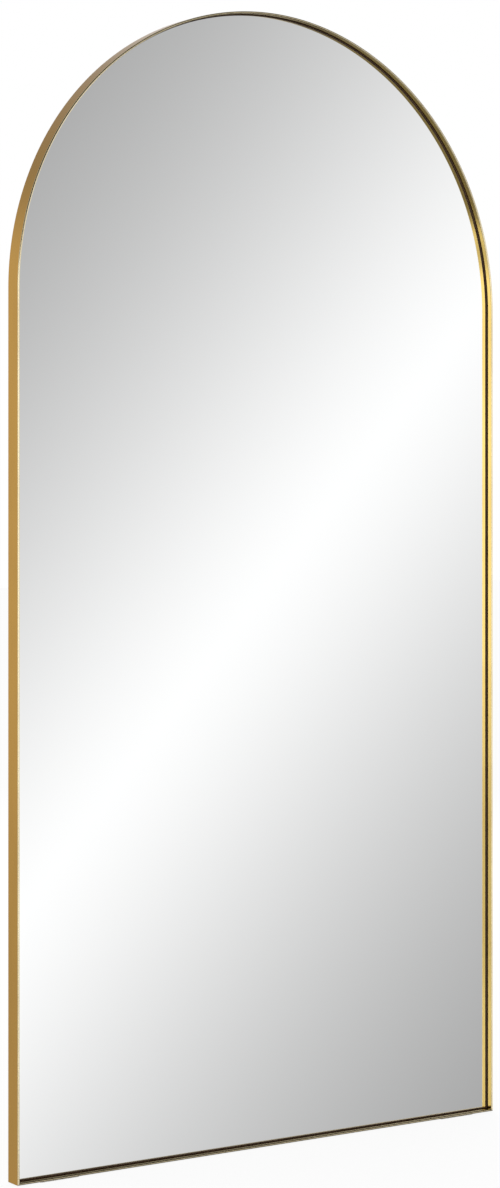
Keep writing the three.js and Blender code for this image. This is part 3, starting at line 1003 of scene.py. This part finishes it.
def floor_finish():
    """A pale matt floor that shows the camera its white and keeps the object's shadow."""
    made, shader = new_material("studio_floor")
    studio = settings().studio
    path = shader.node("ShaderNodeLightPath", output="Is Camera Ray")
    matt = shader.node("ShaderNodeBsdfDiffuse", {"Color": opaque([studio.floor_tone] * 3)})
    white = shader.emission(opaque((1, 1, 1)))
    shader.show(shader.node("ShaderNodeMixShader", {0: path * studio.floor_white, 1: matt, 2: white}))
    return made


def surroundings_finish(eye):
    """What metal and glass show of the studio, by turn and climb as seen from a point behind the mirror.

    In front lie soft diagonal bands of light with a plain brightness on both sides, a soft box on the left,
    a dark ceiling above and a dim ground below. Behind the mirror stands a pale backdrop.
    """
    made, shader = new_material("studio_bands")
    studio = settings().studio
    x, y, z = shader.place()
    right, ahead, up = x - eye.x, eye.y - y, z - eye.z
    turn = right.math("ARCTAN2", ahead)
    level = (right * right + ahead * ahead).math("SQRT")
    climb = up.math("ARCTAN2", level)

    across = math.cos(studio.band_tilt) * (turn - studio.azimuth) - math.sin(studio.band_tilt) * climb
    away = (across + studio.band_shift).math("PINGPONG", studio.band_spacing)
    soft = shader.math("EXPONENT", 0 - (away / studio.band_width) ** studio.band_power)
    bands = studio.band_bright * blend(studio.band_dark, 1, soft)

    in_dip = climb.apart(studio.dip_climb).fall(*DIP_REACH)
    in_box = turn.apart(studio.glow_turn).fall(*SOFT_BOX_REACH)
    in_bands = turn.apart(studio.azimuth).fall(*BANDS_REACH)
    near = turn.rise(studio.beside_end - BESIDE_FADE, studio.beside_end + BESIDE_FADE)
    beside = blend(studio.beside, studio.glow * (1 - studio.dip * in_dip), in_box)
    beside = blend(studio.side_light, beside, near)
    level_light = blend(beside, bands, in_bands)

    above = climb.rise(studio.ceiling - CLIMB_FADE, studio.ceiling + CLIMB_FADE)
    below = climb.fall(studio.ground - CLIMB_FADE, studio.ground + CLIMB_FADE)
    ground_light = blend(studio.ground_left, studio.ground_right, turn.rise(*GROUND_TURNS))
    front_light = level_light * (1 - above) * (1 - below)
    front_light = front_light + studio.ceiling_light * above + ground_light * below

    rear_light = blend(1, studio.rear_high, climb.rise(*HIGH_CLIMBS))
    rear_light = rear_light * blend(1, studio.rear_low, climb.fall(*LOW_CLIMBS))
    rear_light = rear_light * blend(1, studio.rear_ground, climb.fall(*REAR_GROUND_CLIMBS))

    behind = turn.math("ABSOLUTE").rise(*BACKDROP_TURNS)
    shader.show(shader.emission(blend(front_light, rear_light, behind)))
    made.cycles.emission_sampling = "NONE"
    return made


def add_camera():
    """A level camera to the left of the mirror, with the view shifted down to the mirror's middle."""
    studio = settings().studio
    data = bpy.data.cameras.new("studio_camera")
    data.sensor_fit = "VERTICAL"
    data.sensor_height = 36
    data.lens = studio.lens
    data.shift_y = studio.shift
    camera = bpy.data.objects.new("studio_camera", data)
    bpy.context.scene.collection.objects.link(camera)
    camera.location = Vector(studio.camera_place) + Vector((0, front, foot))
    camera.rotation_euler = (math.pi / 2, 0, -studio.azimuth)
    bpy.context.scene.camera = camera
    return camera


def add_lamp(name, place, size, power):
    """A square area lamp, aimed at the mirror's middle, that metal and glass don't show."""
    aim = Vector((0, 0, 0.7 * spring))
    data = bpy.data.lights.new(name, "AREA")
    data.shape = "SQUARE"
    data.size = size
    data.energy = power
    lamp = bpy.data.objects.new(name, data)
    bpy.context.scene.collection.objects.link(lamp)
    lamp.location = place
    lamp.rotation_euler = (aim - Vector(place)).to_track_quat("-Z", "Y").to_euler()
    lamp.visible_glossy = False


def add_stage(name, shape, material):
    """Adds a smooth shape that stands round the mirror and isn't part of it."""
    stage = bpy.data.objects.new(name, finished_mesh(name, shape, sharp_degrees=180))
    stage.data.materials.append(material)
    bpy.context.scene.collection.objects.link(stage)
    return stage


def add_floor():
    """The floor, which metal and glass don't show."""
    shape = bmesh.new()
    bmesh.ops.create_grid(shape, x_segments=1, y_segments=1, size=FLOOR_REACH)
    floor = add_stage("studio_floor", shape, floor_finish())
    floor.visible_glossy = False


def add_surroundings(camera):
    """A sphere that only metal and glass show, painted as seen from the camera's mirror image."""
    shape = bmesh.new()
    bmesh.ops.create_icosphere(shape, subdivisions=5, radius=SURROUNDINGS_RADIUS)
    eye = Vector((camera.location.x, 2 * glass_front - camera.location.y, camera.location.z))
    sphere = add_stage("studio_bands", shape, surroundings_finish(eye))
    sphere.visible_camera = False
    sphere.visible_diffuse = False
    sphere.visible_transmission = False
    sphere.visible_volume_scatter = False
    sphere.visible_shadow = False


class FLOORMIRROR_OT_studio(bpy.types.Operator):
    """Set up the camera, the pale floor, the lamps and what metal and glass reflect"""

    bl_idname = "floor_mirror.studio"
    bl_label = "Studio"

    def execute(self, context):
        studio = settings().studio
        context.scene.view_settings.view_transform = "Standard"
        studio_world()
        add_floor()
        add_surroundings(add_camera())
        add_lamp("key_lamp", studio.key_place, studio.key_size, studio.key_power)
        add_lamp("fill_lamp", studio.fill_place, studio.fill_size, studio.fill_power)
        return {"FINISHED"}


# ---------------------------------------------------------------- panel and registration

OPERATORS = (
    FLOORMIRROR_OT_studio,
    FLOORMIRROR_OT_frame,
    FLOORMIRROR_OT_glass,
    FLOORMIRROR_OT_backing,
    FLOORMIRROR_OT_corners,
    FLOORMIRROR_OT_screws,
    FLOORMIRROR_OT_hangers,
    FLOORMIRROR_OT_rubber,
)


class FLOORMIRROR_PT_panel(bpy.types.Panel):
    """Lists the pieces of the floor mirror"""

    bl_label = "Floor Mirror"
    bl_idname = "FLOORMIRROR_PT_panel"
    bl_space_type = "VIEW_3D"
    bl_region_type = "UI"
    bl_category = "Floor Mirror"

    def draw(self, context):
        for operator in OPERATORS:
            self.layout.operator(operator.bl_idname)


CLASSES = (
    FrameSizes,
    HardwareSizes,
    Finishes,
    Studio,
    MirrorSettings,
    *OPERATORS,
    FLOORMIRROR_PT_panel,
)


def register():
    for kind in CLASSES:
        bpy.utils.register_class(kind)
    bpy.types.Scene.floor_mirror = bpy.props.PointerProperty(type=MirrorSettings)


def unregister():
    del bpy.types.Scene.floor_mirror
    for kind in reversed(CLASSES):
        bpy.utils.unregister_class(kind)


def main():
    """Builds the mirror and its studio."""
    register()
    bpy.ops.floor_mirror.studio()
    bpy.ops.floor_mirror.frame()
    bpy.ops.floor_mirror.glass()
    bpy.ops.floor_mirror.backing()
    bpy.ops.floor_mirror.corners()
    bpy.ops.floor_mirror.screws()
    bpy.ops.floor_mirror.hangers()
    bpy.ops.floor_mirror.rubber()


if __name__ == "__main__":
    main()
